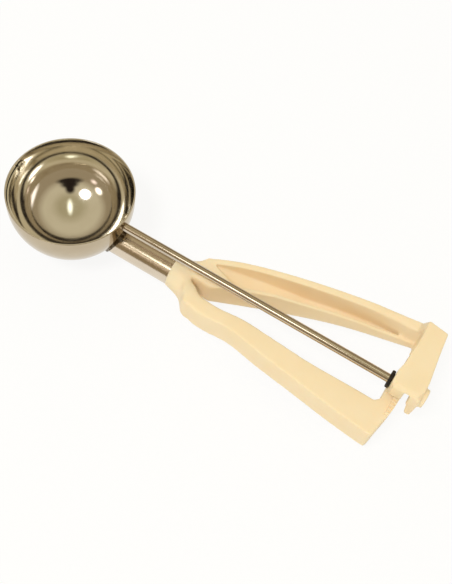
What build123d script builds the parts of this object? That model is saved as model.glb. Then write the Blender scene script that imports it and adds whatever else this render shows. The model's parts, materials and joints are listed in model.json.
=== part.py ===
from build123d import *
import math
import os

# Lever ice cream scoop. Squeezing the lever arm turns a pinion on a long rod, and the rod
# sweeps a thin blade round the inside of the bowl.
#
# Millimetres. Origin at the centre of the bowl's rim. +X runs along the rod to the handle,
# +Y points to the fixed arm, +Z points out of the bowl.

# ---- Driving dimensions -----------------------------------------------------------------

bowl_radius = 34.0  # inside
bowl_wall = 0.8
lip_height = 5.7  # straight lip above the hemisphere

running_gap = 0.06  # radial, shafts in their holes
passing_gap = 0.3  # between faces that move past each other
seat_gap = 0.05  # between faces held together within one moving group

blade_wall = 0.8
blade_width = 10.0
blade_end_width = 6.4
blade_eye_radius = 4.0
blade_drop = 3.75  # degrees below level at rest

rod_diameter = 4.76
rod_flat_depth = 0.5
journal_radius = 1.6  # where the rod passes through the bowl
tenon_width = 2.2  # square end that drives the blade
rivet_radius = 1.5
rivet_head_radius = 3.0

neck_drop = 22.3  # rim to the axis of the neck tube
neck_radius = 8.2
neck_wall = 1.0
ferrule_front = 66.3  # rim centre to the handle's front edge
ferrule_wall = 0.65
socket_depth = 8.7  # tube inside the handle

arm_spread = 43.0  # rod to the outside of the fixed arm at the housing
arm_depth = 17.1
channel_floor = 3.0
arm_wall = 2.4

gear_module = 0.75
pinion_teeth = 12
face_gear_teeth = 322  # in a full circle about the lever's hinge
face_teeth_made = 9
gear_width = 3.2
pressure_angle = 25.0  # degrees
tooth_rise = 0.9  # addendum, modules
pinion_tooth_fall = 1.2  # dedendum, modules
face_tooth_fall = 1.33
tooth_backlash = 0.2

housing_front = 198.0  # rim centre to the gear housing
housing_rise = 2.0  # rim to the top of the housing
housing_wall = 3.2
rear_wall = 3.6
clip_bay = 3.0  # free length of rod behind the pinion
roof_thickness = 2.1
end_wall = 0.8
corner_radius = 3.2

hinge_y = -9.6
knuckle_radius = 3.6
boss_radius = 5.1
boss_length = 1.5
rear_boss_length = 4.4
washer_radius = 4.9
washer_thickness = 1.8
ring_thickness = 0.7
ring_width = 0.8

# ---- Derived sizes ----------------------------------------------------------------------

rod_radius = rod_diameter / 2
rod_z = -lip_height
bowl_outer = bowl_radius + bowl_wall
blade_outer = bowl_radius - passing_gap
blade_inner = blade_outer - blade_wall
neck_z = -neck_drop
neck_end = ferrule_front + socket_depth
ferrule_radius = neck_radius + ferrule_wall

pinion_radius = gear_module * pinion_teeth / 2
face_gear_radius = gear_module * face_gear_teeth / 2
tooth_pitch = math.pi * gear_module
tooth_thickness = (tooth_pitch - tooth_backlash) / 2
pinion_tip = pinion_radius + tooth_rise * gear_module
pinion_root = pinion_radius - pinion_tooth_fall * gear_module
pitch_plane = rod_z - pinion_radius
face_tooth_tip = pitch_plane + tooth_rise * gear_module
tooth_root = pitch_plane - face_tooth_fall * gear_module
tooth_land = 0.1  # the teeth's roots stand this far above the arm's top
arm_top = tooth_root - tooth_land
arm_bottom = arm_top - arm_depth

boss_front = housing_front - boss_length
bay_front = housing_front + housing_wall
pinion_front = bay_front + 0.2
pinion_back = pinion_front + gear_width
bay_back = pinion_back + clip_bay
housing_back = bay_back + rear_wall
rear_boss_end = housing_back + rear_boss_length
rod_end = rear_boss_end - 0.6
washer_back = boss_front - 0.2
ring_front = pinion_back + seat_gap
housing_under = face_tooth_tip + passing_gap  # lower edge of the housing's walls

hinge_x = (pinion_front + pinion_back) / 2 - face_gear_radius
hinge = (hinge_x, hinge_y)
hinge_axis = Axis((hinge_x, hinge_y, 0), (0, 0, 1))
arm_length = housing_front - hinge_x

# Planes across the rod and across the neck tube: local x is +Y, local y is +Z.
rod_plane = Plane(origin=(0, 0, rod_z), x_dir=(0, 1, 0), z_dir=(1, 0, 0))
neck_plane = Plane(origin=(0, 0, neck_z), x_dir=(0, 1, 0), z_dir=(1, 0, 0))


def bar(plane, radius, start, end, mode=Mode.ADD):
    """A round bar, or with Mode.SUBTRACT a bore, along a plane's normal."""
    with Locations(plane.offset(start)):
        Cylinder(radius, end - start, align=(Align.CENTER, Align.CENTER, Align.MIN), mode=mode)


def along(fraction, spread):
    """A point of the handle's plan: 0 at the hinge and 1 at the housing, then spread from the rod."""
    return (hinge_x + fraction * arm_length, spread * arm_spread)


def from_hinge(reach, angle):
    """A point of the handle's plan at a distance from the hinge, in a direction in degrees."""
    turn = math.radians(angle)
    return (hinge_x + reach * math.cos(turn), hinge_y + reach * math.sin(turn))


def save(builder, name):
    """Label a finished piece and write it to its own file."""
    builder.part.label = name
    export_step(builder.part, f"parts/{name}.step")


os.makedirs("parts", exist_ok=True)

# ---- Bowl -------------------------------------------------------------------------------

with BuildPart() as bowl:
    with BuildSketch(Plane.XZ):
        with BuildLine():
            outer_wall = Line((bowl_outer, 0), (bowl_outer, rod_z))
            outer_dome = RadiusArc(outer_wall @ 1, (0, rod_z - bowl_outer), bowl_outer)
            foot = Line(outer_dome @ 1, (0, rod_z - bowl_radius))
            inner_dome = RadiusArc(foot @ 1, (bowl_radius, rod_z), -bowl_radius)
            inner_wall = Line(inner_dome @ 1, (bowl_radius, 0))
            Line(inner_wall @ 1, outer_wall @ 0)
        make_face()
    revolve(axis=Axis.Z)
    rim_edges = bowl.edges().filter_by(GeomType.CIRCLE).group_by(Axis.Z)[-1]
    chamfer(rim_edges, length=bowl_wall * 0.3)
    bar(rod_plane, journal_radius + running_gap, 0, bowl_outer + 1, mode=Mode.SUBTRACT)
    bar(rod_plane, rivet_radius, -bowl_outer - 1, 0, mode=Mode.SUBTRACT)
save(bowl, "bowl")

# ---- Scraper blade ----------------------------------------------------------------------
# A strip of a thin sphere, narrower at its ends, with a round eye at each end. The eye
# at the handle side has a square hole for the rod.

with BuildPart() as blade_shell:
    with Locations((0, 0, rod_z)):
        Sphere(blade_outer)
        Sphere(blade_inner, mode=Mode.SUBTRACT)

rest_angle = math.radians(blade_drop)
blade_plane = Plane(
    origin=(0, 0, rod_z),
    x_dir=(1, 0, 0),
    z_dir=(0, -math.cos(rest_angle), -math.sin(rest_angle)),
)

with BuildPart() as scraper_blade:
    with BuildSketch(blade_plane):
        with BuildLine():
            end_half = blade_end_width / 2
            middle_half = blade_width / 2
            one_edge = ThreePointArc((-blade_outer, end_half), (0, middle_half), (blade_outer, end_half))
            far_end = Line(one_edge @ 1, (blade_outer, -end_half))
            other_edge = ThreePointArc(far_end @ 1, (0, -middle_half), (-blade_outer, -end_half))
            Line(other_edge @ 1, one_edge @ 0)
        make_face()
    extrude(amount=blade_outer)
    bar(rod_plane, blade_eye_radius, -blade_outer, blade_outer)
    add(blade_shell.part, mode=Mode.INTERSECT)
    with BuildSketch(rod_plane):
        Rectangle(tenon_width + seat_gap, tenon_width + seat_gap)
    extrude(amount=bowl_outer, mode=Mode.SUBTRACT)
    bar(rod_plane, rivet_radius + running_gap, -bowl_outer, 0, mode=Mode.SUBTRACT)
save(scraper_blade, "scraper_blade")

# ---- Tip rivet: the blade's far pivot ---------------------------------------------------

rivet_head_height = 1.0
rivet_inner_head_radius = 2.4
rivet_inner_head_thickness = 0.6
rivet_inner_face = -(blade_inner - passing_gap)

with BuildPart() as tip_rivet:
    bar(rod_plane, rivet_radius, -bowl_outer, rivet_inner_face)
    bar(rod_plane, rivet_inner_head_radius, rivet_inner_face, rivet_inner_face + rivet_inner_head_thickness)
    bar(rod_plane, rivet_head_radius, -bowl_outer - rivet_head_height, -bowl_outer)
    head_rim = tip_rivet.edges().filter_by(GeomType.CIRCLE).group_by(Axis.X)[0]
    chamfer(head_rim, length=rivet_head_height * 0.6)
save(tip_rivet, "tip_rivet")

# ---- Neck tube and its brazed joint -----------------------------------------------------

braze_height = 1.3
braze_reach = 0.9

with BuildPart() as bowl_outside:
    with Locations((0, 0, rod_z)):
        Sphere(bowl_outer)

with BuildPart() as neck_tube:
    bar(neck_plane, neck_radius, bowl_radius / 2, neck_end)
    bar(neck_plane, neck_radius - neck_wall, bowl_radius / 2, neck_end, mode=Mode.SUBTRACT)
    add(bowl_outside.part, mode=Mode.SUBTRACT)
save(neck_tube, "neck_tube")

with BuildPart() as neck_weld:
    with Locations((0, 0, rod_z)):
        Sphere(bowl_outer + braze_height)
    bar(neck_plane, neck_radius + braze_reach, bowl_radius / 2, 2 * bowl_radius, mode=Mode.INTERSECT)
    bar(neck_plane, neck_radius, 0, 2 * bowl_radius, mode=Mode.SUBTRACT)
    add(bowl_outside.part, mode=Mode.SUBTRACT)
save(neck_weld, "neck_weld")

# ---- Drive rod --------------------------------------------------------------------------
# From the bowl outwards: a staked head, the square tenon, a thin journal through the
# bowl's wall, then the full rod with a flat for the pinion and a groove for its clip.

stake_radius = 1.8
stake_thickness = 0.6
tenon_start = blade_inner - 0.12
journal_start = blade_outer
shoulder = bowl_outer + 0.2
flat_start = bay_front + 0.1

with BuildPart() as drive_rod:
    bar(rod_plane, rod_radius, shoulder, rod_end)
    bar(rod_plane, journal_radius, journal_start, shoulder)
    with BuildSketch(rod_plane.offset(tenon_start)):
        Rectangle(tenon_width, tenon_width)
    extrude(until=Until.NEXT)
    bar(rod_plane, stake_radius, tenon_start - stake_thickness, tenon_start)
    with BuildSketch(rod_plane.offset(flat_start)):
        with Locations((0, rod_radius)):
            Rectangle(rod_diameter, 2 * rod_flat_depth)
    extrude(amount=rod_end - flat_start, mode=Mode.SUBTRACT)
    with BuildSketch(rod_plane.offset(ring_front)):
        Circle(rod_radius)
        Circle(rod_radius - rod_flat_depth, mode=Mode.SUBTRACT)
    extrude(amount=ring_thickness, mode=Mode.SUBTRACT)
    rear_edge = drive_rod.edges().group_by(Axis.X)[-1]
    chamfer(rear_edge, length=0.4)
save(drive_rod, "drive_rod")

# ---- Thrust washer and retaining ring ---------------------------------------------------

with BuildPart() as thrust_washer:
    bar(rod_plane, washer_radius, washer_back - washer_thickness, washer_back)
    chamfer(thrust_washer.edges().filter_by(GeomType.CIRCLE), length=0.35)
    bar(rod_plane, rod_radius, washer_back - washer_thickness, washer_back, mode=Mode.SUBTRACT)
save(thrust_washer, "thrust_washer")

with BuildPart() as retaining_ring:
    with BuildSketch(rod_plane.offset(ring_front)):
        groove_radius = rod_radius - rod_flat_depth
        Circle(groove_radius + ring_width)
        Circle(groove_radius, mode=Mode.SUBTRACT)
        with Locations((0, -rod_diameter / 2)):
            Rectangle(groove_radius * 1.5, rod_diameter, mode=Mode.SUBTRACT)
    extrude(amount=ring_thickness)
save(retaining_ring, "retaining_ring")

# ---- Pinion -----------------------------------------------------------------------------
# Involute teeth; one tooth points straight down into the gap between two face teeth.

pressure = math.radians(pressure_angle)
base_radius = pinion_radius * math.cos(pressure)


def flank_point(radius, side):
    """A point of the downward tooth's flank at a radius, on the side -1 or +1."""
    roll = math.acos(base_radius / radius)
    half = tooth_thickness / (2 * pinion_radius)
    half += (math.tan(pressure) - pressure) - (math.tan(roll) - roll)
    return (side * radius * math.sin(half), -radius * math.cos(half))


def flank(side):
    """The points of one flank, from the base circle to the tip."""
    return [flank_point(r, side) for r in (base_radius, pinion_radius, pinion_tip)]


with BuildSketch() as pinion_tooth:
    with BuildLine():
        left_flank = ThreePointArc(*flank(-1))
        right_flank = ThreePointArc(*flank(1))
        Line(left_flank @ 1, right_flank @ 1)
        left_foot = Line(left_flank @ 0, (left_flank.start_point().X, -pinion_root * 0.9))
        right_foot = Line(right_flank @ 0, (right_flank.start_point().X, -pinion_root * 0.9))
        Line(left_foot @ 1, right_foot @ 1)
    make_face()

with BuildPart() as pinion_gear:
    with BuildSketch(rod_plane.offset(pinion_front)):
        Circle(pinion_root)
        with PolarLocations(0, pinion_teeth):
            add(pinion_tooth.sketch)
        with BuildSketch(mode=Mode.PRIVATE) as d_bore:
            Circle(rod_radius)
            with Locations((0, rod_radius)):
                Rectangle(rod_diameter, 2 * rod_flat_depth, mode=Mode.SUBTRACT)
        add(d_bore.sketch, mode=Mode.SUBTRACT)
    extrude(amount=gear_width)
save(pinion_gear, "pinion_gear")

# ---- Handle frame: ferrule, fixed arm and gear housing ----------------------------------

root_front = ferrule_front + 1.7
root_half = ferrule_radius + 1
socket_radius = knuckle_radius + running_gap
slit_half_angle = 2.7  # degrees, between the arms' roots on the outside
slit_angle = -62.7
lip_end = from_hinge(9.6, slit_angle - slit_half_angle)
heel = from_hinge(9.9, slit_angle + slit_half_angle)
crotch_wall = socket_radius + 0.5
arm_end_inner_y = 0.81 * arm_spread
housing_recess = 0.8  # the housing's front steps back beside the fixed arm
housing_face = housing_front + housing_recess
foot_back = housing_back - 1.0

# Stations of the arms' sides: fraction along the arm, and fraction of its spread.
arm_outer_side = [
    (-0.09, 0.24), (0.0, 0.305), (0.084, 0.412), (0.2, 0.535), (0.34, 0.65), (0.54, 0.785), (0.8, 0.92)
]
arm_inner_side = [(0.92, 0.751), (0.76, 0.649), (0.594, 0.516), (0.42, 0.34), (0.266, 0.172), (0.171, 0.06)]
trough_outer_side = [(0.03, 0.25), (0.13, 0.377), (0.34, 0.558), (0.56, 0.698), (0.79, 0.805), (0.93, 0.832)]
trough_inner_side = [(0.93, 0.812), (0.76, 0.695), (0.594, 0.563), (0.42, 0.391), (0.266, 0.228), (0.171, 0.123)]
ledge_side = [(0.3, 0.45), (0.56, 0.64), (0.79, 0.77), (0.93, 0.823), (1.01, 0.84)]
arm_crotch = along(0.07, -0.07)
crotch_front = hinge_x - 3.6  # bottom of the gap between the arms
crotch_y = -1.9
crotch_bevel = 1.0
lever_shoulder = (hinge_x + 2.3, hinge_y + 2.5)

with BuildSketch() as frame_outline:
    with BuildLine():
        front = Line((root_front, -root_half), (root_front, root_half))
        outer_side = Spline(front @ 1, *[along(f, s) for f, s in arm_outer_side], along(1.06, 1.0))
        Polyline(
            outer_side @ 1,
            (foot_back, arm_spread),
            (foot_back, arm_end_inner_y),
            (housing_face, arm_end_inner_y),
        )
        inner_side = Spline(
            (housing_face, arm_end_inner_y), *[along(f, s) for f, s in arm_inner_side], arm_crotch
        )
        Polyline(
            inner_side @ 1,
            (crotch_front + crotch_bevel, crotch_y),
            (crotch_front, crotch_y - crotch_bevel),
            (hinge_x + 0.4, hinge_y + crotch_wall),
            hinge,
            lip_end,
        )
        Spline(lip_end, (hinge_x - 1.2, -16.4), (hinge_x - 5.4, -13.2), front @ 0)
    make_face()
    with Locations(hinge):
        Circle(socket_radius, mode=Mode.SUBTRACT)

# Trough in the top of the fixed arm, between a thick outer wall and a thin inner one. Its
# floor rises to the root.
with BuildPart() as trough:
    with BuildSketch(Plane.XY.offset(arm_bottom + channel_floor)):
        with BuildLine():
            trough_outer = Spline(*[along(f, s) for f, s in trough_outer_side])
            trough_inner = Spline(*[along(f, s) for f, s in trough_inner_side])
            Line(trough_outer @ 1, trough_inner @ 0)
            Line(trough_inner @ 1, trough_outer @ 0)
        make_face()
    extrude(amount=arm_depth)
    with BuildSketch(Plane.XZ):
        with BuildLine():
            rise = Spline(
                (hinge_x, arm_top + 0.5),
                (hinge_x + 0.1 * arm_length, arm_top - 0.3 * arm_depth),
                (hinge_x + 0.3 * arm_length, arm_top - 0.65 * arm_depth),
                (hinge_x + 0.5 * arm_length, arm_bottom + channel_floor - 0.5),
            )
            Polyline(
                rise @ 1,
                (housing_front, arm_bottom),
                (housing_front, housing_rise),
                (hinge_x, housing_rise),
                rise @ 0,
            )
        make_face()
    extrude(amount=-2 * arm_spread, mode=Mode.INTERSECT)

# The inner wall's top falls away towards the housing.
with BuildPart() as inner_wall_cut:
    with BuildSketch(Plane.XY.offset(arm_bottom)):
        with BuildLine():
            ledge = Spline(*[along(f, s) for f, s in ledge_side])
            Polyline(ledge @ 1, (housing_face, 0), (hinge_x + 0.3 * arm_length, 0), ledge @ 0)
        make_face()
    extrude(amount=2 * arm_depth)
    with BuildSketch(Plane.XZ):
        with BuildLine():
            slope = Spline(
                (hinge_x + 0.34 * arm_length, arm_top + 0.2),
                (hinge_x + 0.58 * arm_length, arm_top - 0.32 * arm_depth),
                (hinge_x + 0.77 * arm_length, arm_top - 0.48 * arm_depth),
                (housing_face, arm_top - 0.67 * arm_depth),
            )
            Polyline(slope @ 1, (housing_face, 0), (hinge_x + 0.34 * arm_length, 0), slope @ 0)
        make_face()
    extrude(amount=-2 * arm_spread, mode=Mode.INTERSECT)

# Round shoulder from the ferrule out to the arms.
with BuildPart() as shoulder_envelope:
    with BuildSketch(Plane.XZ):
        with BuildLine():
            flare = Spline(
                (root_front, neck_z + ferrule_radius),
                (hinge_x - 11, neck_z + ferrule_radius + 0.9),
                (hinge_x - 5, neck_z + ferrule_radius + 3.3),
                (hinge_x - 1, neck_z + ferrule_radius + 8.0),
                (hinge_x + 6, neck_z + ferrule_radius + 22.0),
            )
            Polyline(
                flare @ 1,
                (hinge_x + 20, neck_z + 2 * arm_spread),
                (rear_boss_end, neck_z + 2 * arm_spread),
                (rear_boss_end, neck_z),
                (root_front, neck_z),
                flare @ 0,
            )
        make_face()
    revolve(axis=Axis((0, 0, neck_z), (1, 0, 0)))

housing_end_y = -(pinion_tip + passing_gap + end_wall)
housing_outer_y = 0.865 * arm_spread  # front corner
housing_skew = 1.8  # the outer end runs back towards the rod
housing_draft = 1.1
housing_inner_y = 0.7 * arm_spread
rear_flare = 2.0  # the housing's back swells towards the rod
roof_under = housing_rise - roof_thickness
prong_width = 4.6
prong_thickness = 3.0
prong_drop = 13.3  # rod's axis to the prong's tip
prong_lean = 2.1

# Housing: a block across the rod, closed on top and open below.
with BuildPart() as housing_block:
    with BuildSketch(Plane.YZ.offset(housing_front)) as housing_section:
        with BuildLine():
            Polyline(
                (housing_end_y, housing_under),
                (housing_end_y, housing_rise),
                (housing_outer_y, housing_rise),
                (housing_outer_y, arm_top),
                (housing_inner_y, arm_top),
                (housing_inner_y, housing_under),
                close=True,
            )
        make_face()
        fillet(housing_section.vertices().group_by(Axis.Y)[-1].sort_by(Axis.X)[0], radius=corner_radius)
    extrude(amount=rear_boss_end - housing_front)
    with BuildSketch(Plane.XY.offset(arm_bottom)):
        with BuildLine():
            Polyline(
                (housing_front, housing_end_y),
                (housing_front, housing_inner_y / 2),
                (housing_face, housing_inner_y * 0.75),
                (housing_face, housing_outer_y),
                (housing_back - housing_draft, housing_outer_y - housing_skew),
                (housing_back, housing_inner_y * 0.75),
                (housing_back + rear_flare, boss_radius),
                (housing_back + rear_flare, housing_end_y + boss_radius),
                (housing_back, housing_end_y),
                close=True,
            )
        make_face()
    extrude(amount=2 * arm_depth, mode=Mode.INTERSECT)

# The block's foot spreads down to the fixed arm's outer side.
foot_spread = 2.6
foot_top_back = housing_back - housing_draft - 0.2

with BuildPart() as housing_foot:
    with BuildSketch(Plane.XY.offset(arm_top - 0.5)):
        with BuildLine():
            Polyline(
                (housing_face - foot_spread, arm_end_inner_y + 1),
                (housing_face - foot_spread, arm_spread - 1.0),
                (foot_back - 0.2, arm_spread - 0.3),
                (foot_back - 0.2, arm_end_inner_y + 1),
                close=True,
            )
        make_face()
    with BuildSketch(Plane.XY.offset(housing_rise)):
        with BuildLine():
            Polyline(
                (housing_face, housing_inner_y + 2),
                (housing_face, housing_outer_y),
                (foot_top_back, housing_outer_y - housing_skew),
                (foot_top_back, housing_inner_y + 2),
                close=True,
            )
        make_face()
    loft(ruled=True)

with BuildPart() as handle_frame:
    with BuildSketch(Plane.XY.offset(arm_bottom)):
        add(frame_outline.sketch)
    extrude(amount=arm_depth)
    with BuildSketch(Plane.XZ.offset(-2 * arm_spread)):
        with BuildLine():
            Polyline(
                (root_front, neck_z + ferrule_radius),
                (hinge_x + 4, arm_top),
                (rear_boss_end, arm_top),
                (rear_boss_end, arm_bottom),
                (root_front, arm_bottom),
                close=True,
            )
        make_face()
    extrude(amount=4 * arm_spread, mode=Mode.INTERSECT)
    add(shoulder_envelope.part, mode=Mode.INTERSECT)
    add(trough.part, mode=Mode.SUBTRACT)
    add(inner_wall_cut.part, mode=Mode.SUBTRACT)

    # Ferrule.
    bar(neck_plane, ferrule_radius, ferrule_front, neck_end)
    ferrule_edge = handle_frame.edges().filter_by(GeomType.CIRCLE).group_by(Axis.X)[0]
    fillet(ferrule_edge, radius=ferrule_wall * 0.6)
    bar(neck_plane, neck_radius, ferrule_front, neck_end, mode=Mode.SUBTRACT)

    # The housing, its foot on the fixed arm and the hollow for the pinion and its clip.
    add(housing_block.part)
    add(housing_foot.part)
    with BuildSketch(Plane.XY.offset(arm_bottom)):
        with Locations(((housing_face + foot_back) / 2, (housing_inner_y + arm_end_inner_y) / 2)):
            Rectangle(foot_back - housing_face, arm_end_inner_y - housing_inner_y)
    extrude(amount=arm_depth)
    with BuildSketch(Plane.YZ.offset(bay_front)) as bay_section:
        with BuildLine():
            Polyline(
                (housing_end_y + end_wall, housing_under),
                (housing_end_y + end_wall, roof_under),
                (housing_inner_y, roof_under),
                (housing_inner_y, housing_under),
                close=True,
            )
        make_face()
    extrude(amount=bay_back - bay_front, mode=Mode.SUBTRACT)
    with BuildSketch(Plane.YZ.offset(pinion_back + 0.2)):
        with Locations((housing_end_y, housing_under)):
            Rectangle(2 * (end_wall + 0.01), 2 * (roof_under - housing_under))
    extrude(amount=clip_bay - 0.2, mode=Mode.SUBTRACT)

    # Front boss, widening into the housing on the fixed arm's side.
    with BuildSketch(Plane.XY.offset(rod_z - boss_radius)):
        with BuildLine():
            Polyline(
                (housing_front, -boss_radius),
                (boss_front, -boss_radius + 0.8),
                (boss_front, boss_radius - 1.6),
                (housing_front - boss_length / 2, boss_radius + 1.6),
                (housing_front, boss_radius + 3.9),
                close=True,
            )
        make_face()
    extrude(amount=boss_radius + lip_height + housing_rise)

    # Rear boss and the prong that hangs behind the lever.
    bar(rod_plane, boss_radius, housing_back, rear_boss_end)
    with BuildSketch(Plane.XZ.offset(-housing_end_y - prong_width)) as prong_profile:
        with BuildLine():
            Polyline(
                (bay_back, roof_under),
                (bay_back, rod_z + 0.7),
                (bay_back + prong_lean, rod_z - prong_drop),
                (bay_back + prong_lean + prong_thickness, rod_z - prong_drop),
                (housing_back + rear_flare, rod_z - boss_radius),
                (housing_back + rear_flare, roof_under),
                close=True,
            )
        make_face()
        fillet(prong_profile.vertices().group_by(Axis.Y)[0], radius=prong_thickness * 0.42)
    extrude(amount=prong_width)
    bar(rod_plane, rod_radius + running_gap, boss_front, bay_front, mode=Mode.SUBTRACT)
    bar(rod_plane, rod_radius + running_gap, bay_back, rear_boss_end, mode=Mode.SUBTRACT)
save(handle_frame, "handle_frame")

# ---- Squeeze lever: moving arm, cross-arm and face teeth --------------------------------

cross_front = housing_front - 2.0
cross_back = pinion_back
cross_depth = 7.7
cross_tip_y = 4.6
cross_corner = 2.5
tail_y = -0.45 * arm_spread
arm_inner_y = -0.274 * arm_spread
cross_root = (cross_front - cross_corner, arm_inner_y)
cross_heel = (cross_back - 0.5, arm_inner_y)
tail = (cross_back - 2.0, tail_y)

lever_outer_side = [
    (0.09, -0.45), (0.18, -0.44), (0.26, -0.43), (0.38, -0.481), (0.57, -0.553), (0.79, -0.635), (1.02, -0.698)
]
lever_inner_side = [
    (0.835, -0.27), (0.663, -0.277), (0.494, -0.253), (0.385, -0.235), (0.28, -0.223), (0.18, -0.25),
    (0.105, -0.242), (0.054, -0.216),
]

with BuildSketch() as lever_outline:
    with BuildLine():
        lever_outer = Spline(heel, *[along(f, s) for f, s in lever_outer_side])
        Polyline(lever_outer @ 1, along(1.026, -0.662), tail, cross_heel, cross_root)
        lever_inner = Spline(cross_root, *[along(f, s) for f, s in lever_inner_side])
        Polyline(lever_inner @ 1, lever_shoulder, hinge, heel)
    make_face()

# The moving arm is hollowed from below.
with BuildSketch() as lever_pocket:
    with BuildLine():
        wall = arm_wall / arm_spread
        pocket_outer = Spline(*[along(f, s + wall) for f, s in lever_outer_side[3:6]])
        pocket_inner = Spline(*[along(f, s - wall) for f, s in lever_inner_side[0:5]])
        Line(pocket_outer @ 1, pocket_inner @ 0)
        Line(pocket_inner @ 1, pocket_outer @ 0)
    make_face()

with BuildSketch() as cross_arm_outline:
    with BuildLine():
        Polyline(
            cross_root,
            (cross_front, arm_inner_y + cross_corner),
            (cross_front, cross_tip_y),
            (cross_back, cross_tip_y),
            (cross_back, -cross_tip_y),
            cross_heel,
            tail,
            (cross_front - cross_corner, tail_y),
            close=True,
        )
    make_face()

# The space between two face teeth, cut along the rod's direction at the pinion.
slope_run = math.tan(pressure)
cutter_rise = 1.0  # past the teeth's tips
cutter_overrun = 2.0  # past the teeth's ends
gap_half = (tooth_pitch - tooth_thickness) / 2
root_gap_half = gap_half - (pitch_plane - tooth_root) * slope_run
cutter_top = face_tooth_tip + cutter_rise
tip_gap_half = gap_half + (cutter_top - pitch_plane) * slope_run

with BuildPart() as tooth_space:
    with BuildSketch(Plane.YZ.offset(pinion_front - cutter_overrun)):
        with BuildLine():
            Polyline(
                (-root_gap_half, tooth_root),
                (root_gap_half, tooth_root),
                (tip_gap_half, cutter_top),
                (-tip_gap_half, cutter_top),
                close=True,
            )
        make_face()
    extrude(amount=gear_width + 2 * cutter_overrun)

# The teeth stand on the cross-arm. Each space is the first one turned about the hinge.
tooth_step = 360 / face_gear_teeth
spaces_beyond_rod = 2
tooth_row_length = face_teeth_made * tooth_pitch

with BuildPart() as squeeze_lever:
    with BuildSketch(Plane.XY.offset(arm_bottom)):
        add(lever_outline.sketch)
        with Locations(hinge):
            Circle(knuckle_radius)
    extrude(amount=arm_depth)
    with BuildSketch(Plane.XY.offset(arm_bottom)):
        add(lever_pocket.sketch)
    extrude(amount=arm_depth - channel_floor, mode=Mode.SUBTRACT)
    with BuildSketch(Plane.XY.offset(arm_top - cross_depth)):
        add(cross_arm_outline.sketch)
    extrude(amount=cross_depth)
    with BuildSketch(Plane.XY.offset(arm_top - cross_depth / 2)):
        add(cross_arm_outline.sketch)
        with Locations((pinion_front + gear_width, cross_tip_y - tooth_row_length / 2)):
            Rectangle(2 * gear_width, tooth_row_length, mode=Mode.INTERSECT)
    extrude(amount=cross_depth / 2 + face_tooth_tip - arm_top)
    for index in range(face_teeth_made + 1):
        turn = (spaces_beyond_rod - index) * tooth_step
        add(tooth_space.part.rotate(hinge_axis, turn), mode=Mode.SUBTRACT)
save(squeeze_lever, "squeeze_lever")
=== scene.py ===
import json
import math

import bmesh
import bpy
from mathutils import Matrix, Vector


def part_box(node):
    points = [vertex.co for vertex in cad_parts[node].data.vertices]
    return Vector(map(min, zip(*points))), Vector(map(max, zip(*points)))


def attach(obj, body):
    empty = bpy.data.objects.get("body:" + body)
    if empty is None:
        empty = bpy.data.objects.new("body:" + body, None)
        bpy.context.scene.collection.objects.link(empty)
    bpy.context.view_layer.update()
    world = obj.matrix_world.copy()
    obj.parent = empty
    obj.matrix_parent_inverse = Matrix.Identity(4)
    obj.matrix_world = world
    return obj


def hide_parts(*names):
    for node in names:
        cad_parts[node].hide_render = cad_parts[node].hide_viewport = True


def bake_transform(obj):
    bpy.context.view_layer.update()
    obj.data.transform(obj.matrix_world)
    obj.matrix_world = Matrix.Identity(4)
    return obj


bl_info = {
    "name": "Lever Scoop Looks",
    "version": (1, 0, 0),
    "blender": (4, 5, 0),
    "location": "View3D > Sidebar > Scoop",
    "description": "Dresses the lever ice cream scoop: polished bowl, drawn rod and moulded handle",
    "category": "Object",
}

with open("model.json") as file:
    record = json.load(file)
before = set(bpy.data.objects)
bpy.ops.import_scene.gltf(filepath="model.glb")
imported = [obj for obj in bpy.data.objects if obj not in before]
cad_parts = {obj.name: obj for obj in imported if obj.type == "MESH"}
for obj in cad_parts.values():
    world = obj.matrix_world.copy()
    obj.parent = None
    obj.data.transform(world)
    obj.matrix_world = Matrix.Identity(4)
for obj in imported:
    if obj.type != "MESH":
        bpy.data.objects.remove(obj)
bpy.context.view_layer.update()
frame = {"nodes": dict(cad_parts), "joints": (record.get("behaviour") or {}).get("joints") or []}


# ---- Measures -----------------------------------------------------------------------------

MM = 0.001
MICRON = 0.000001

# Height of the rod's axis, which is also the middle of the bowl's sphere.
ROD_Z = -5.7 * MM
# Where the moving arm turns, about an upright axis.
HINGE = next(Vector(joint["pos_m"]) for joint in frame["joints"] if joint["name"] == "lever_squeeze")

# Share of the wall that rounds the bowl's edges, and length of the drill for the rod's hole.
EDGE_ROUNDING = 0.3
DRILL_LENGTH = 0.006

# Angle past which an edge of the bowl is rounded, and angles past which edges are shaded sharp.
EDGE_ANGLE = math.radians(60)
BOWL_SHARP = math.radians(35)
SKIN_SHARP = math.radians(50)

# Height of the arms' roots. The web between them is a post round the hinge and a rib along the slit, and
# it ends a little inside the roots' lower and upper faces.
ROOT_HEIGHT = 17.1 * MM
WEB_INSET_BELOW = 0.2 * MM
WEB_INSET_ABOVE = 0.4 * MM
POST_RADIUS = 4.2 * MM
RIB_LENGTH = 9.3 * MM
RIB_WIDTH = 1.3 * MM
RIB_ANGLE = math.radians(-62.7)

# The disc that closes the rear end of the tube's socket.
SOCKET_END = (75.7 * MM, 0, -22.3 * MM)
DISC_RADIUS = 8.85 * MM
DISC_THICKNESS = 1.4 * MM

# Strength of each round of smoothing, and the rounds over the whole skin and round the hinge.
SMOOTHING = 0.5
SKIN_ROUNDS = 9
ROOT_ROUNDS = 34
# Centre, reach, lowest height and rounds of smoothing of the softly moulded hollows. The smoothing sets
# in over the fade's height above the lowest.
HOLLOWS = (
    (Vector((85.0, -5.5)) * MM, 10 * MM, -18.5 * MM, 86),
    (Vector((185.0, 30.0)) * MM, 15 * MM, -22.0 * MM, 44),
)
HOLLOW_FADE = 3 * MM

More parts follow.
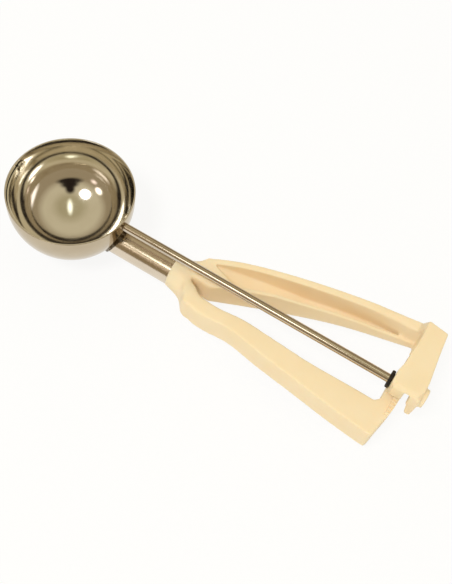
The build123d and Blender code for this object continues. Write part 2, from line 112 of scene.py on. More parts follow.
# The moving arm's root is cut through this point, square to this direction.
CUT_POINT = Vector((82.0, -9.6, -20.0)) * MM
CUT_NORMAL = Vector((0.970, -0.245, 0.0)).normalized()
# The moving arm lies at a lower Y than the gap. Each arm is made with a stub of the other, up to this X.
GAP_Y = -5.0 * MM
STUB_REACH = 115 * MM

# Corners of the block round the face teeth, and how far their copy reaches past it into the skin.
TEETH_LOW = Vector((200.4, -18.5, -11.6)) * MM
TEETH_HIGH = Vector((207.0, 6.5, -5.0)) * MM
TEETH_OVERLAP = 0.1 * MM

# Colours of the room low down and high up, and the heights between which they change, from 0 to 1.
ROOM_SKY = ((0.68, 0.60, 0.50), (1.0, 0.91, 0.63), 0.0, 0.40)
MIRRORED_SKY = ((0.56, 0.44, 0.27), (0.99, 0.86, 0.59), 0.64, 0.80)
# Soft patches of the mirrored room: azimuth, elevation, half width and half height in degrees, softness
# and colour.
SKY_PATCHES = (
    (30, 88, 26, 26, 0.45, (0.74, 0.64, 0.39)),
    (38, 87.8, 14, 4.2, 0.8, (3.6, 3.6, 3.0)),
    (35, 26, 27, 8, 0.6, (3.0, 2.7, 2.4)),
    (-51, 45.5, 25, 7.5, 0.4, (0.03, 0.02, 0.015)),
    (-50, 53, 17, 8, 0.45, (0.03, 0.02, 0.015)),
    (-50, 61, 9, 11, 0.5, (0.03, 0.02, 0.015)),
    (-120, 42.5, 8, 6, 0.7, (6.0, 5.4, 4.8)),
    (-101, 35, 7, 5, 1.0, (3.0, 2.4, 2.1)),
)

# The floor, and how much of it is seen as plain white.
FLOOR_PLACE = (0.1, 0, -40.6 * MM)
FLOOR_SIZE = 4
FLOOR_WHITE = 0.88

# Distances of the key lamp, and of the bright disc in the same direction that metal mirrors.
LAMP_TARGET = Vector((0.03, 0.0, -0.01))
KEY_DIRECTION = Vector((-0.109, -0.442, 0.890))
KEY_DISTANCE = 2.6
GLOW_DISTANCE = 2.5

# The camera's place, the direction it looks in and its upward direction.
CAMERA_HOME = Vector((178.1, -219.3, 403.9)) * MM
CAMERA_AIM = Vector((-0.1655, 0.4594, -0.8727))
CAMERA_UP = Vector((-0.4916, 0.7287, 0.4768))
SENSOR_WIDTH = 36
NEAR_CLIP = 0.01


# ---- Settings -----------------------------------------------------------------------------


class ScoopMetalSettings(bpy.types.PropertyGroup):
    bowl_radius: bpy.props.FloatProperty(
        name="Bowl Radius", description="Inside radius of the bowl", default=0.034, unit="LENGTH"
    )
    bowl_wall: bpy.props.FloatProperty(
        name="Bowl Wall", description="Thickness of the bowl's sheet", default=0.0008, unit="LENGTH"
    )
    bowl_flatness: bpy.props.FloatProperty(
        name="Bowl Flatness",
        description="How fast the polished inside flattens below the rim, per metre",
        default=5.0,
    )
    rod_hole: bpy.props.FloatProperty(
        name="Rod Hole",
        description="Radius of the hole that the rod's journal turns in",
        default=0.00166,
        unit="LENGTH",
    )
    steel: bpy.props.FloatVectorProperty(
        name="Steel",
        description="Colour of the polished steel",
        default=(0.90, 0.865, 0.79),
        size=3,
        subtype="COLOR",
    )
    steel_dark: bpy.props.FloatVectorProperty(
        name="Dull Steel",
        description="Colour of the steel where it is less polished",
        default=(0.80, 0.755, 0.66),
        size=3,
        subtype="COLOR",
    )
    # Painted shade: the outside's colour is set darker and browner than the polished steel, so the white
    # floor it mirrors comes out tan.
    outside_steel_painted_shade: bpy.props.FloatVectorProperty(
        name="Outside Steel",
        description="Colour of the bowl's outside",
        default=(0.48, 0.40, 0.28),
        size=3,
        subtype="COLOR",
    )
    drawn_steel: bpy.props.FloatVectorProperty(
        name="Drawn Steel",
        description="Colour of the tube and rod",
        default=(0.66, 0.57, 0.45),
        size=3,
        subtype="COLOR",
    )
    drawn_dull: bpy.props.FloatVectorProperty(
        name="Dull Drawn Steel",
        description="Colour of the rod where it is duller",
        default=(0.56, 0.48, 0.38),
        size=3,
        subtype="COLOR",
    )
    braze: bpy.props.FloatVectorProperty(
        name="Braze",
        description="Colour of the brazed bead",
        default=(0.10, 0.07, 0.035),
        size=3,
        subtype="COLOR",
    )
    rubber: bpy.props.FloatVectorProperty(
        name="Rubber",
        description="Colour of the washer",
        default=(0.009, 0.006, 0.004),
        size=3,
        subtype="COLOR",
    )


class ScoopPlasticSettings(bpy.types.PropertyGroup):
    ivory: bpy.props.FloatVectorProperty(
        name="Ivory",
        description="Main colour of the handle",
        default=(0.93, 0.785, 0.58),
        size=3,
        subtype="COLOR",
    )
    ivory_deep: bpy.props.FloatVectorProperty(
        name="Deep Ivory",
        description="Colour of the handle's warmer patches",
        default=(0.92, 0.765, 0.545),
        size=3,
        subtype="COLOR",
    )
    gear_white: bpy.props.FloatVectorProperty(
        name="Gear White",
        description="Colour of the pinion",
        default=(0.80, 0.74, 0.60),
        size=3,
        subtype="COLOR",
    )
    skin_cell: bpy.props.FloatProperty(
        name="Skin Cell",
        description="Cell size of the handle's remeshed skin",
        default=0.0005,
        unit="LENGTH",
    )
    root_reach: bpy.props.FloatProperty(
        name="Root Reach",
        description="Distance round the hinge that is softened",
        default=0.022,
        unit="LENGTH",
    )


class ScoopStageSettings(bpy.types.PropertyGroup):
    lens: bpy.props.FloatProperty(
        name="Lens", description="Camera focal length in mm", default=71.7, unit="CAMERA"
    )
    key_power: bpy.props.FloatProperty(
        name="Key Power", description="Power of the key lamp", default=24.5, unit="POWER"
    )
    glow_power: bpy.props.FloatProperty(
        name="Glow Power",
        description="Power of the key's own bright disc, as metal mirrors it",
        default=4.4,
        unit="POWER",
    )
    key_size: bpy.props.FloatProperty(
        name="Key Size", description="Diameter of the key lamp", default=0.70, unit="LENGTH"
    )
    room: bpy.props.FloatProperty(
        name="Room Light", description="Strength of the light from the room", default=0.675
    )
    mirrored: bpy.props.FloatProperty(
        name="Mirrored Room",
        description="Strength of the room as polished metal mirrors it",
        default=0.555,
    )


# ---- Shared tools -------------------------------------------------------------------------


def deselect_all():
    """Nothing selected, in object mode."""
    if bpy.context.mode != "OBJECT":
        bpy.ops.object.mode_set(mode="OBJECT")
    bpy.ops.object.select_all(action="DESELECT")


def pick(*objects):
    """Select these objects alone; the first is the active one."""
    deselect_all()
    for obj in objects:
        obj.select_set(True)
    bpy.context.view_layer.objects.active = objects[0]


def edit(obj):
    """Go into edit mode on one object, with all of it selected."""
    pick(obj)
    bpy.ops.object.mode_set(mode="EDIT")
    bpy.ops.mesh.select_mode(type="FACE")
    bpy.ops.mesh.select_all(action="SELECT")


def leave_edit():
    """Back to object mode."""
    bpy.ops.object.mode_set(mode="OBJECT")


def select_faces(obj, wanted):
    """In edit mode, select the faces whose centre passes a test; returns how many do."""
    mesh = bmesh.from_edit_mesh(obj.data)
    count = 0
    for face in mesh.faces:
        face.select_set(wanted(face.calc_center_median()))
        count += face.select
    mesh.select_flush_mode()
    bmesh.update_edit_mesh(obj.data)
    return count


def select_open_edges():
    """In edit mode, select the edges round a mesh's openings."""
    bpy.ops.mesh.select_mode(type="EDGE")
    bpy.ops.mesh.select_all(action="DESELECT")
    bpy.ops.mesh.select_non_manifold()


def add_modifier(obj, kind, **values):
    """Add a modifier with these values and apply it."""
    modifier = obj.modifiers.new(kind.title(), kind)
    for key, value in values.items():
        setattr(modifier, key, value)
    pick(obj)
    bpy.ops.object.modifier_apply(modifier=modifier.name)


def combine(obj, tool, operation):
    """Cut a closed mesh with a second one, or join the second to it, and remove the second."""
    add_modifier(obj, "BOOLEAN", object=tool, operation=operation, solver="EXACT")
    bpy.data.objects.remove(tool)


def cylinder(radius, depth, place, vertices=48, lying=False):
    """A new cylinder that stands upright, or lies along X."""
    deselect_all()
    bpy.ops.mesh.primitive_cylinder_add(
        vertices=vertices,
        radius=radius,
        depth=depth,
        rotation=(0, math.pi / 2 if lying else 0, 0),
        location=place,
    )
    return bpy.context.active_object


def cube(size, place, turn=0.0):
    """A new box of this length, width and height, turned about Z."""
    deselect_all()
    bpy.ops.mesh.primitive_cube_add(size=1, scale=size, rotation=(0, 0, turn), location=place)
    return bpy.context.active_object


def smooth_faces(obj, sharp):
    """Shade an object smooth, apart from edges past an angle."""
    pick(obj)
    bpy.ops.object.shade_smooth_by_angle(angle=sharp)


def dress(obj, material):
    """Give an object one material."""
    obj.data.materials.clear()
    obj.data.materials.append(material)


# ---- Shader tools -------------------------------------------------------------------------


def shader(name):
    """A new node material; returns the material, its tree and its main shader."""
    material = bpy.data.materials.new(name)
    material.use_nodes = True
    tree = material.node_tree
    return material, tree, tree.nodes["Principled BSDF"]


def height_of(tree, coordinates):
    """Height on an object's own coordinates, or of a direction in the world."""
    coords = tree.nodes.new("ShaderNodeTexCoord")
    split = tree.nodes.new("ShaderNodeSeparateXYZ")
    tree.links.new(coords.outputs[coordinates], split.inputs["Vector"])
    return split.outputs["Z"]


def calculate(tree, operation, first, second):
    """One step of arithmetic on a linked value and a second one, linked or a number."""
    node = tree.nodes.new("ShaderNodeMath")
    node.operation = operation
    tree.links.new(first, node.inputs[0])
    if isinstance(second, float):
        node.inputs[1].default_value = second
    else:
        tree.links.new(second, node.inputs[1])
    return node.outputs[0]


def noise(tree, scale, detail, stretch=(1, 1, 1)):
    """Noise on the object's own coordinates, from 0 to 1."""
    coords = tree.nodes.new("ShaderNodeTexCoord")
    mapping = tree.nodes.new("ShaderNodeMapping")
    mapping.inputs["Scale"].default_value = stretch
    texture = tree.nodes.new("ShaderNodeTexNoise")
    texture.inputs["Scale"].default_value = scale
    texture.inputs["Detail"].default_value = detail
    tree.links.new(coords.outputs["Object"], mapping.inputs["Vector"])
    tree.links.new(mapping.outputs["Vector"], texture.inputs["Vector"])
    return texture.outputs["Fac"]


def rings(tree, scale, distortion):
    """Fine rings round the vertical axis through the origin."""
    coords = tree.nodes.new("ShaderNodeTexCoord")
    texture = tree.nodes.new("ShaderNodeTexWave")
    texture.wave_type = "RINGS"
    texture.rings_direction = "Z"
    texture.inputs["Scale"].default_value = scale
    texture.inputs["Distortion"].default_value = distortion
    tree.links.new(coords.outputs["Object"], texture.inputs["Vector"])
    return texture.outputs["Fac"]


def spread(tree, value, low, high, floor=0.3, ceiling=0.7):
    """Stretch a value's range from floor to ceiling to run from low to high."""
    node = tree.nodes.new("ShaderNodeMapRange")
    node.inputs["From Min"].default_value = floor
    node.inputs["From Max"].default_value = ceiling
    node.inputs["To Min"].default_value = low
    node.inputs["To Max"].default_value = high
    tree.links.new(value, node.inputs["Value"])
    return node.outputs["Result"]


def blend_colours(tree, value, first, second, floor=0.35, ceiling=0.65):
    """A colour that runs from the first to the second as a value goes from floor to ceiling."""
    node = tree.nodes.new("ShaderNodeValToRGB")
    for element, position, colour in zip(node.color_ramp.elements, (floor, ceiling), (first, second)):
        element.position = position
        element.color = (*colour, 1)
    tree.links.new(value, node.inputs["Fac"])
    return node.outputs["Color"]


def tint(colour, factor):
    """A colour made paler or darker by a factor."""
    return [channel * factor for channel in colour]


def relief(tree, bsdf, height, depth, under=None):
    """Bump from a height value; depth is its real size in metres."""
    node = tree.nodes.new("ShaderNodeBump")
    node.inputs["Strength"].default_value = 1.0
    node.inputs["Distance"].default_value = depth
    tree.links.new(height, node.inputs["Height"])
    if under is not None:
        tree.links.new(under, node.inputs["Normal"])
    tree.links.new(node.outputs["Normal"], bsdf.inputs["Normal"])
    return node.outputs["Normal"]


def mix_shaders(tree, share, first, second):
    """The first shader, going over to the second by a share from 0 to 1."""
    mix = tree.nodes.new("ShaderNodeMixShader")
    tree.links.new(share, mix.inputs["Fac"])
    tree.links.new(first, mix.inputs[1])
    tree.links.new(second, mix.inputs[2])
    return mix.outputs["Shader"]


# ---- Materials ----------------------------------------------------------------------------


def steel(name, colour, dull, roughness, grain, depth, stretch=(1, 1, 1)):
    """Steel with patches of duller polish and a fine grain, drawn out along one direction."""
    material, tree, bsdf = shader(name)
    bsdf.inputs["Metallic"].default_value = 1.0
    patches = noise(tree, scale=90, detail=4.0)
    polish = blend_colours(tree, patches, colour, dull, floor=0.4, ceiling=0.8)
    tree.links.new(polish, bsdf.inputs["Base Color"])
    lines = noise(tree, grain, detail=2.0, stretch=stretch)
    brushed = spread(tree, lines, low=roughness * 0.7, high=roughness * 1.4)
    tree.links.new(brushed, bsdf.inputs["Roughness"])
    relief(tree, bsdf, lines, depth)
    return material


def mirror_steel(colour, dull, flatness):
    """Polished inside of the bowl, with faint polishing rings; it mirrors like a flatter dish."""
    material, tree, bsdf = shader("bowl_mirror_steel")
    bsdf.inputs["Metallic"].default_value = 1.0
    patches = noise(tree, scale=45, detail=3.0)
    polish = blend_colours(tree, patches, colour, dull, floor=0.45, ceiling=0.95)
    tree.links.new(polish, bsdf.inputs["Base Color"])
    haze = noise(tree, scale=150, detail=5.0)
    tree.links.new(spread(tree, haze, low=0.06, high=0.12), bsdf.inputs["Roughness"])
    above_rod = calculate(tree, "ADD", height_of(tree, "Object"), -ROD_Z)
    below_lip = calculate(tree, "MINIMUM", above_rod, 0.0)
    square = calculate(tree, "MULTIPLY", below_lip, below_lip)
    dish = relief(tree, bsdf, square, depth=flatness)
    relief(tree, bsdf, rings(tree, scale=260, distortion=0.6), depth=0.6 * MICRON, under=dish)
    return material


def moulded_ivory(name, main, deep):
    """Moulded plastic with soft mottling and a satin skin."""
    material, tree, bsdf = shader(name)
    clouds = noise(tree, scale=55, detail=2.0)
    tree.links.new(blend_colours(tree, clouds, main, deep), bsdf.inputs["Base Color"])
    satin = noise(tree, scale=400, detail=3.0)
    tree.links.new(spread(tree, satin, low=0.42, high=0.54), bsdf.inputs["Roughness"])
    relief(tree, bsdf, noise(tree, scale=1800, detail=2.0), depth=12 * MICRON)
    bsdf.inputs["Specular IOR Level"].default_value = 0.3
    bsdf.inputs["Subsurface Weight"].default_value = 0.25
    bsdf.inputs["Subsurface Radius"].default_value = (1.0, 0.75, 0.5)
    bsdf.inputs["Subsurface Scale"].default_value = 3 * MM
    return material


def brazing(colour, steel_colour):
    """Near-black metal with small steel-coloured spots."""
    material, tree, bsdf = shader("braze_metal")
    spots = noise(tree, scale=700, detail=4.0)
    crust = blend_colours(tree, spots, colour, steel_colour, floor=0.5, ceiling=0.85)
    tree.links.new(crust, bsdf.inputs["Base Color"])
    bsdf.inputs["Metallic"].default_value = 0.9
    bsdf.inputs["Roughness"].default_value = 0.38
    relief(tree, bsdf, noise(tree, scale=900, detail=3.0), depth=120 * MICRON)
    return material


def washer_rubber(colour):
    """Black rubber with a dusty grain."""
    material, tree, bsdf = shader("washer_rubber")
    dust = noise(tree, scale=1200, detail=4.0)
    dusty = [channel * 1.8 + 0.002 for channel in colour]
    grain = blend_colours(tree, dust, colour, dusty, floor=0.45, ceiling=0.8)
    tree.links.new(grain, bsdf.inputs["Base Color"])
    tree.links.new(spread(tree, dust, low=0.5, high=0.7), bsdf.inputs["Roughness"])
    relief(tree, bsdf, dust, depth=30 * MICRON)
    return material


def paper():
    """White studio paper that keeps a faint shadow."""
    material, tree, bsdf = shader("floor_paper")
    fibres = noise(tree, scale=300, detail=4.0)
    whites = blend_colours(tree, fibres, (0.93, 0.93, 0.93), (0.95, 0.95, 0.95))
    tree.links.new(whites, bsdf.inputs["Base Color"])
    bsdf.inputs["Roughness"].default_value = 0.9
    bsdf.inputs["Specular IOR Level"].default_value = 0.0
    surface = seen_white(tree, bsdf.outputs["BSDF"], FLOOR_WHITE)
    tree.links.new(surface, tree.nodes["Material Output"].inputs["Surface"])
    return material


def seen_white(tree, surface, share):
    """Mix a surface with plain white as the camera, mirrors and glass see it."""
    path = tree.nodes.new("ShaderNodeLightPath")
    seen = path.outputs["Is Camera Ray"]
    for ray in ("Is Glossy Ray", "Is Transmission Ray"):
        seen = calculate(tree, "MAXIMUM", seen, path.outputs[ray])
    white = tree.nodes.new("ShaderNodeEmission")
    return mix_shaders(tree, calculate(tree, "MULTIPLY", seen, share), surface, white.outputs["Emission"])


# ---- Room ---------------------------------------------------------------------------------


def sky_patch(tree, azimuth, elevation, width, height, softness):
    """How far the world's direction lies inside a soft oval patch of the sky, from 0 to 1."""
    around, up = math.radians(azimuth), math.radians(elevation)
    coords = tree.nodes.new("ShaderNodeTexCoord")
    place = tree.nodes.new("ShaderNodeMapping")
    place.vector_type = "TEXTURE"
    place.inputs["Location"].default_value = (
        math.cos(up) * math.cos(around),
        math.cos(up) * math.sin(around),
        math.sin(up),
    )
    place.inputs["Rotation"].default_value = (0.0, -up, around)
    place.inputs["Scale"].default_value = (
        1.0,
        math.sin(math.radians(width)),
        math.sin(math.radians(height)),
    )
    ball = tree.nodes.new("ShaderNodeTexGradient")
    ball.gradient_type = "SPHERICAL"
    tree.links.new(coords.outputs["Generated"], place.inputs["Vector"])
    tree.links.new(place.outputs["Vector"], ball.inputs["Vector"])
    return spread(tree, ball.outputs["Fac"], low=0.0, high=1.0, floor=0.0, ceiling=softness)


def mirrored_room(tree, height):
    """Colour of the room as polished metal mirrors it: soft lamps and the dark shape behind the camera."""
    colour = blend_colours(tree, height, *MIRRORED_SKY)
    for *shape, patch_colour in SKY_PATCHES:
        mix = tree.nodes.new("ShaderNodeMixRGB")
        mix.inputs["Color2"].default_value = (*patch_colour, 1)
        tree.links.new(sky_patch(tree, *shape), mix.inputs["Fac"])
        tree.links.new(colour, mix.inputs["Color1"])
        colour = mix.outputs["Color"]
    return colour


def studio_world(room_light, mirrored_light):
    """Khaki room that lights the scoop, with its own look in mirrors and plain white for the camera."""
    world = bpy.data.worlds.new("studio")
    world.use_nodes = True
    tree = world.node_tree
    height = height_of(tree, "Generated")
    room = tree.nodes["Background"]
    tree.links.new(blend_colours(tree, height, *ROOM_SKY), room.inputs["Color"])
    room.inputs["Strength"].default_value = room_light
    mirrored = tree.nodes.new("ShaderNodeBackground")
    tree.links.new(mirrored_room(tree, height), mirrored.inputs["Color"])
    mirrored.inputs["Strength"].default_value = mirrored_light
    white = tree.nodes.new("ShaderNodeBackground")
    white.inputs["Color"].default_value = (1, 1, 1, 1)
    path = tree.nodes.new("ShaderNodeLightPath")
    surface = room.outputs["Background"]
    for ray, background in (("Is Glossy Ray", mirrored), ("Is Camera Ray", white)):
        surface = mix_shaders(tree, path.outputs[ray], surface, background.outputs["Background"])
    tree.links.new(surface, tree.nodes["World Output"].inputs["Surface"])
    return world


# ---- Bowl, rod and small pieces -----------------------------------------------------------


class SCOOP_OT_bowl(bpy.types.Operator):
    """Spun steel bowl with a straight lip and a hole for the rod"""

    bl_idname = "scoop.bowl"
    bl_label = "Bowl"

    def execute(self, context):
        settings = context.scene.scoop_metal
        bowl = self.shell(settings)
        drill = cylinder(settings.rod_hole, DRILL_LENGTH, (settings.bowl_radius, 0, ROD_Z), lying=True)
        combine(bowl, drill, "DIFFERENCE")
        smooth_faces(bowl, BOWL_SHARP)
        dress(bowl, mirror_steel(settings.steel, settings.steel_dark, settings.bowl_flatness))
        self.dress_outside_painted_shade(bowl, settings)
        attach(bowl, "frame")
        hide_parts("bowl")
        return {"FINISHED"}

    def shell(self, settings):
        """Half a sphere under a straight lip, with the sheet's wall and rounded edges."""
        centre = Vector((0, 0, ROD_Z))
        deselect_all()
        bpy.ops.mesh.primitive_uv_sphere_add(
            segments=192, ring_count=96, radius=settings.bowl_radius, location=centre
        )
        bowl = bpy.context.active_object
        bowl.name = "bowl_shell"
        bpy.ops.object.transform_apply(location=True)
        edit(bowl)
        bpy.ops.mesh.bisect(plane_co=centre, plane_no=(0, 0, 1), clear_outer=True)
        select_open_edges()
        bpy.ops.mesh.extrude_region_move(TRANSFORM_OT_translate={"value": (0, 0, -ROD_Z)})
        leave_edit()
        wall = settings.bowl_wall
        add_modifier(bowl, "SOLIDIFY", thickness=wall, offset=1.0, use_even_offset=True)
        add_modifier(
            bowl,
            "BEVEL",
            width=wall * EDGE_ROUNDING,
            segments=3,
            limit_method="ANGLE",
            angle_limit=EDGE_ANGLE,
        )
        return bowl

    def dress_outside_painted_shade(self, bowl, settings):
        """A duller steel on the faces past the middle of the wall; its darker, browner colour is painted
        shade, so the white floor it mirrors comes out tan.
        """
        # This colour carries painted shade that dims the floor the outside mirrors.
        outside = settings.outside_steel_painted_shade
        pressed = steel(
            "bowl_outside_painted_shade_steel",
            tint(outside, factor=1.12),
            outside,
            roughness=0.13,
            grain=600,
            depth=0.6 * MICRON,
            stretch=(1, 1, 4),
        )
        bowl.data.materials.append(pressed)
        middle = settings.bowl_radius + settings.bowl_wall / 2
        for face in bowl.data.polygons:
            point = face.center
            away = math.hypot(point.x, point.y, min(0.0, point.z - ROD_Z))
            face.material_index = int(away > middle)


class SCOOP_OT_blade(bpy.types.Operator):
    """Scraper blade and the rivet it turns on"""

    bl_idname = "scoop.blade"
    bl_label = "Blade and Rivet"

    def execute(self, context):
        settings = context.scene.scoop_metal
        nodes = frame["nodes"]
        colours = settings.steel, settings.steel_dark
        rolled = steel(
            "rolled_spring_steel", *colours, roughness=0.14, grain=900, depth=1 * MICRON, stretch=(6, 1, 1)
        )
        dress(nodes["scraper_blade"], rolled)
        turned = steel("rivet_steel", *colours, roughness=0.2, grain=700, depth=6 * MICRON)
        dress(nodes["tip_rivet"], turned)
        return {"FINISHED"}


class SCOOP_OT_neck(bpy.types.Operator):
    """Neck tube and its brazed bead"""

    bl_idname = "scoop.neck"
    bl_label = "Neck"

    def execute(self, context):
        settings = context.scene.scoop_metal
        nodes = frame["nodes"]
        drawn = steel(
            "tube_steel",
            tint(settings.drawn_steel, factor=1.1),
            settings.drawn_steel,
            roughness=0.18,
            grain=3000,
            depth=2 * MICRON,
            stretch=(1, 0.05, 0.05),
        )
        dress(nodes["neck_tube"], drawn)
        dress(nodes["neck_weld"], brazing(settings.braze, settings.steel_dark))
        return {"FINISHED"}


class SCOOP_OT_rod(bpy.types.Operator):
    """Drive rod with its clip and washer"""

    bl_idname = "scoop.rod"
    bl_label = "Rod"

    def execute(self, context):
        settings = context.scene.scoop_metal
        nodes = frame["nodes"]
        drawn = steel(
            "drawn_rod_steel",
            settings.drawn_steel,
            settings.drawn_dull,
            roughness=0.11,
            grain=3000,
            depth=2.5 * MICRON,
            stretch=(1, 0.05, 0.05),
        )
        dress(nodes["drive_rod"], drawn)
        stamped = steel(
            "clip_steel", settings.steel, settings.steel_dark, roughness=0.3, grain=900, depth=10 * MICRON
        )
        dress(nodes["retaining_ring"], stamped)
        dress(nodes["thrust_washer"], washer_rubber(settings.rubber))
        return {"FINISHED"}


class SCOOP_OT_gear(bpy.types.Operator):
    """Pinion inside the housing"""

    bl_idname = "scoop.gear"
    bl_label = "Pinion"

    def execute(self, context):
        white = context.scene.scoop_plastic.gear_white
        dress(frame["nodes"]["pinion_gear"], moulded_ivory("gear_plastic", white, tint(white, factor=0.9)))
        return {"FINISHED"}


# ---- Moulded handle -----------------------------------------------------------------------


def merged_copy(node, name):
    """A new object with a CAD node's mesh, its loose triangles merged."""
    obj = bpy.data.objects.new(name, frame["nodes"][node].data.copy())
    bpy.context.scene.collection.objects.link(obj)
    edit(obj)
    bpy.ops.mesh.customdata_custom_splitnormals_clear()
    bpy.ops.mesh.remove_doubles(threshold=MICRON)
    leave_edit()
    return obj


def keep_before(obj, reach):
    """Cut a closed mesh square across X and keep what lies before the cut."""
    edit(obj)
    bpy.ops.mesh.bisect(plane_co=(reach, 0, 0), plane_no=(1, 0, 0), clear_outer=True, use_fill=True)
    leave_edit()


def root_fillers(low, high):
    """What closes the slit between the arms' roots and the end of the tube's socket."""
    height = high - low
    middle = (high + low) / 2
    post = cylinder(POST_RADIUS, height, (HINGE.x, HINGE.y, middle))
    rib = cube(
        (RIB_LENGTH, RIB_WIDTH, height),
        (
            HINGE.x + math.cos(RIB_ANGLE) * RIB_LENGTH / 2,
            HINGE.y + math.sin(RIB_ANGLE) * RIB_LENGTH / 2,
            middle,
        ),
        RIB_ANGLE,
    )
    disc = cylinder(DISC_RADIUS, DISC_THICKNESS, SOCKET_END, vertices=64, lying=True)
    return [post, rib, disc]


def grown_arms(name, frame_reach, lever_reach, settings):
    """Skin of the two arms grown together at their root, each kept up to its reach along X."""
    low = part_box("squeeze_lever")[0]
    parts = []
    for node, reach in (("handle_frame", frame_reach), ("squeeze_lever", lever_reach)):
        part = merged_copy(node, f"{name}_{node}")
        if reach is not None:
            keep_before(part, reach)
        parts.append(part)
    parts += root_fillers(low[2] + WEB_INSET_BELOW, low[2] + ROOT_HEIGHT - WEB_INSET_ABOVE)
    pick(*parts)
    bpy.ops.object.join()
    skin = bpy.context.active_object
    skin.name = name
    bpy.ops.object.transform_apply(location=True, rotation=True, scale=True)
    add_modifier(skin, "REMESH", mode="VOXEL", voxel_size=settings.skin_cell)
    soften(skin, settings.root_reach)
    return skin


def fade(distance, reach):
    """1 over the first half of the reach, then falling to 0 at its end and below 0 past it."""
    return 2.0 - 2.0 * distance / reach


def smooth_where(skin, iterations, weigh):
    """Smooth a mesh as far as a test weighs each of its points, from 0 to 1."""
    group = skin.vertex_groups.new(name="smoothed")
    for vertex in skin.data.vertices:
        weight = max(0.0, min(1.0, weigh(vertex.co)))
        if weight > 0:
            group.add([vertex.index], weight, "REPLACE")
    add_modifier(skin, "SMOOTH", factor=SMOOTHING, iterations=iterations, vertex_group=group.name)


def soften(skin, reach):
    """Even out the whole skin, and round it more towards the hinge and in the hollows."""
    add_modifier(skin, "SMOOTH", factor=SMOOTHING, iterations=SKIN_ROUNDS)
    smooth_where(skin, ROOT_ROUNDS, lambda at: fade(math.hypot(at.x - HINGE.x, at.y - HINGE.y), reach))
    for middle, across, floor, iterations in HOLLOWS:
        smooth_where(
            skin,
            iterations,
            lambda at: min(fade((at.xy - middle).length, across), (at.z - floor) / HOLLOW_FADE),
        )
    skin.vertex_groups.clear()


def on_lever_side(point):
    """True for a point of the moving arm beyond the cut through its root."""
    return point.y < GAP_Y and (point - CUT_POINT).dot(CUT_NORMAL) > 0


def divide(skin, keep_lever):
    """Cut the grown arms through the moving arm's root and keep one side, closed with a flat face."""
    edit(skin)
    bpy.ops.mesh.bisect(plane_co=CUT_POINT, plane_no=CUT_NORMAL)
    bpy.ops.mesh.select_all(action="DESELECT")
    removed = select_faces(skin, lambda at: at.x < STUB_REACH + MM and on_lever_side(at) != keep_lever)
    if not removed:
        raise RuntimeError("nothing to cut away at the root")
    bpy.ops.mesh.delete(type="FACE")
    select_open_edges()
    bpy.ops.mesh.edge_face_add()
    bpy.ops.mesh.select_all(action="SELECT")
    bpy.ops.mesh.delete_loose()
    leave_edit()
    smooth_faces(skin, SKIN_SHARP)


def block(low, high, margin):
    """A box between two corners, grown by a margin on each side."""
    box = cube(high - low + Vector((2 * margin, 2 * margin, 2 * margin)), (low + high) / 2)
    bpy.ops.object.transform_apply(location=True, rotation=True, scale=True)
    return box


def sharp_teeth(skin):
    """Take the softened skin off the face teeth and join the CAD lever's own teeth in its place."""
    teeth = merged_copy("squeeze_lever", "sharp_teeth")
    combine(skin, block(TEETH_LOW, TEETH_HIGH, 0.0), "DIFFERENCE")
    combine(teeth, block(TEETH_LOW, TEETH_HIGH, TEETH_OVERLAP), "INTERSECT")
    combine(skin, teeth, "UNION")
    smooth_faces(skin, SKIN_SHARP)


class SCOOP_OT_handle(bpy.types.Operator):
    """Moulded handle: the fixed arm with its ferrule and housing, and the moving arm"""

    bl_idname = "scoop.handle"
    bl_label = "Handle"

    def execute(self, context):
        settings = context.scene.scoop_plastic
        ivory = moulded_ivory("ivory_plastic", settings.ivory, settings.ivory_deep)
        fixed = grown_arms("handle_moulding", None, STUB_REACH, settings)
        divide(fixed, keep_lever=False)
        moving = grown_arms("lever_moulding", STUB_REACH, None, settings)
        divide(moving, keep_lever=True)
        sharp_teeth(moving)
        dress(fixed, ivory)
        dress(moving, ivory)
        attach(fixed, "frame")
        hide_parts("handle_frame")
        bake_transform(moving)
        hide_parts("squeeze_lever")
        return {"FINISHED"}


# ---- Stage --------------------------------------------------------------------------------


def aim(obj, place, target, upward=Vector((0, 0, 1))):
    """Put a lamp or camera at a place, looking at a target, with its top the given way up."""
    forward = (target - place).normalized()
    side = forward.cross(upward).normalized()
    up = side.cross(forward).normalized()
    turn = Matrix((side, up, -forward)).transposed()
    obj.matrix_world = Matrix.Translation(place) @ turn.to_4x4()


def lamp(name, power, size, distance):
    """A round soft lamp in the key's direction."""
    bpy.ops.object.light_add(type="AREA")
    obj = bpy.context.active_object
    obj.name = name
    obj.data.shape = "DISK"
    obj.data.size = size
    obj.data.energy = power
    aim(obj, LAMP_TARGET + KEY_DIRECTION * distance, LAMP_TARGET)
    return obj


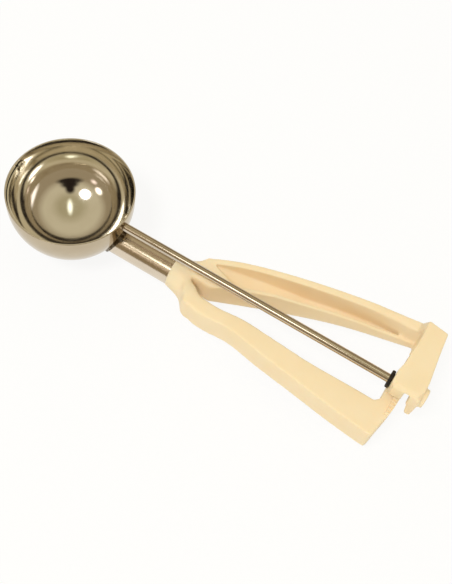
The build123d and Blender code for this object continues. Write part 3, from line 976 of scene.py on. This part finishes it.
class SCOOP_OT_stage(bpy.types.Operator):
    """Floor, lamps and camera"""

    bl_idname = "scoop.stage"
    bl_label = "Stage"

    def execute(self, context):
        settings = context.scene.scoop_stage
        deselect_all()
        bpy.ops.mesh.primitive_plane_add(size=FLOOR_SIZE, location=FLOOR_PLACE)
        floor = context.active_object
        floor.name = "floor"
        dress(floor, paper())
        context.scene.world = studio_world(settings.room, settings.mirrored)
        key = lamp("key", settings.key_power, settings.key_size, KEY_DISTANCE)
        key.visible_glossy = False
        lamp("key_glow", settings.glow_power, settings.key_size, GLOW_DISTANCE)
        bpy.ops.object.camera_add()
        camera = context.active_object
        aim(camera, CAMERA_HOME, CAMERA_HOME + CAMERA_AIM, CAMERA_UP)
        camera.data.sensor_fit = "HORIZONTAL"
        camera.data.sensor_width = SENSOR_WIDTH
        camera.data.lens = settings.lens
        camera.data.clip_start = NEAR_CLIP
        context.scene.camera = camera
        context.scene.view_settings.view_transform = "Standard"
        return {"FINISHED"}


# ---- Sidebar and registration -------------------------------------------------------------

OPERATORS = (
    SCOOP_OT_bowl,
    SCOOP_OT_blade,
    SCOOP_OT_neck,
    SCOOP_OT_rod,
    SCOOP_OT_gear,
    SCOOP_OT_handle,
    SCOOP_OT_stage,
)


class SCOOP_PT_panel(bpy.types.Panel):
    """Sidebar list of the scoop's pieces"""

    bl_idname = "SCOOP_PT_panel"
    bl_label = "Lever Scoop"
    bl_space_type = "VIEW_3D"
    bl_region_type = "UI"
    bl_category = "Scoop"

    def draw(self, context):
        for operator in OPERATORS:
            self.layout.operator(operator.bl_idname)


CLASSES = (ScoopMetalSettings, ScoopPlasticSettings, ScoopStageSettings, *OPERATORS, SCOOP_PT_panel)


def register():
    for cls in CLASSES:
        bpy.utils.register_class(cls)
    bpy.types.Scene.scoop_metal = bpy.props.PointerProperty(type=ScoopMetalSettings)
    bpy.types.Scene.scoop_plastic = bpy.props.PointerProperty(type=ScoopPlasticSettings)
    bpy.types.Scene.scoop_stage = bpy.props.PointerProperty(type=ScoopStageSettings)


def unregister():
    del bpy.types.Scene.scoop_metal
    del bpy.types.Scene.scoop_plastic
    del bpy.types.Scene.scoop_stage
    for cls in reversed(CLASSES):
        bpy.utils.unregister_class(cls)


def main():
    """Make every piece and the stage."""
    register()
    bpy.ops.scoop.bowl()
    bpy.ops.scoop.blade()
    bpy.ops.scoop.neck()
    bpy.ops.scoop.rod()
    bpy.ops.scoop.gear()
    bpy.ops.scoop.handle()
    bpy.ops.scoop.stage()
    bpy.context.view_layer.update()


if __name__ == "__main__":
    main()
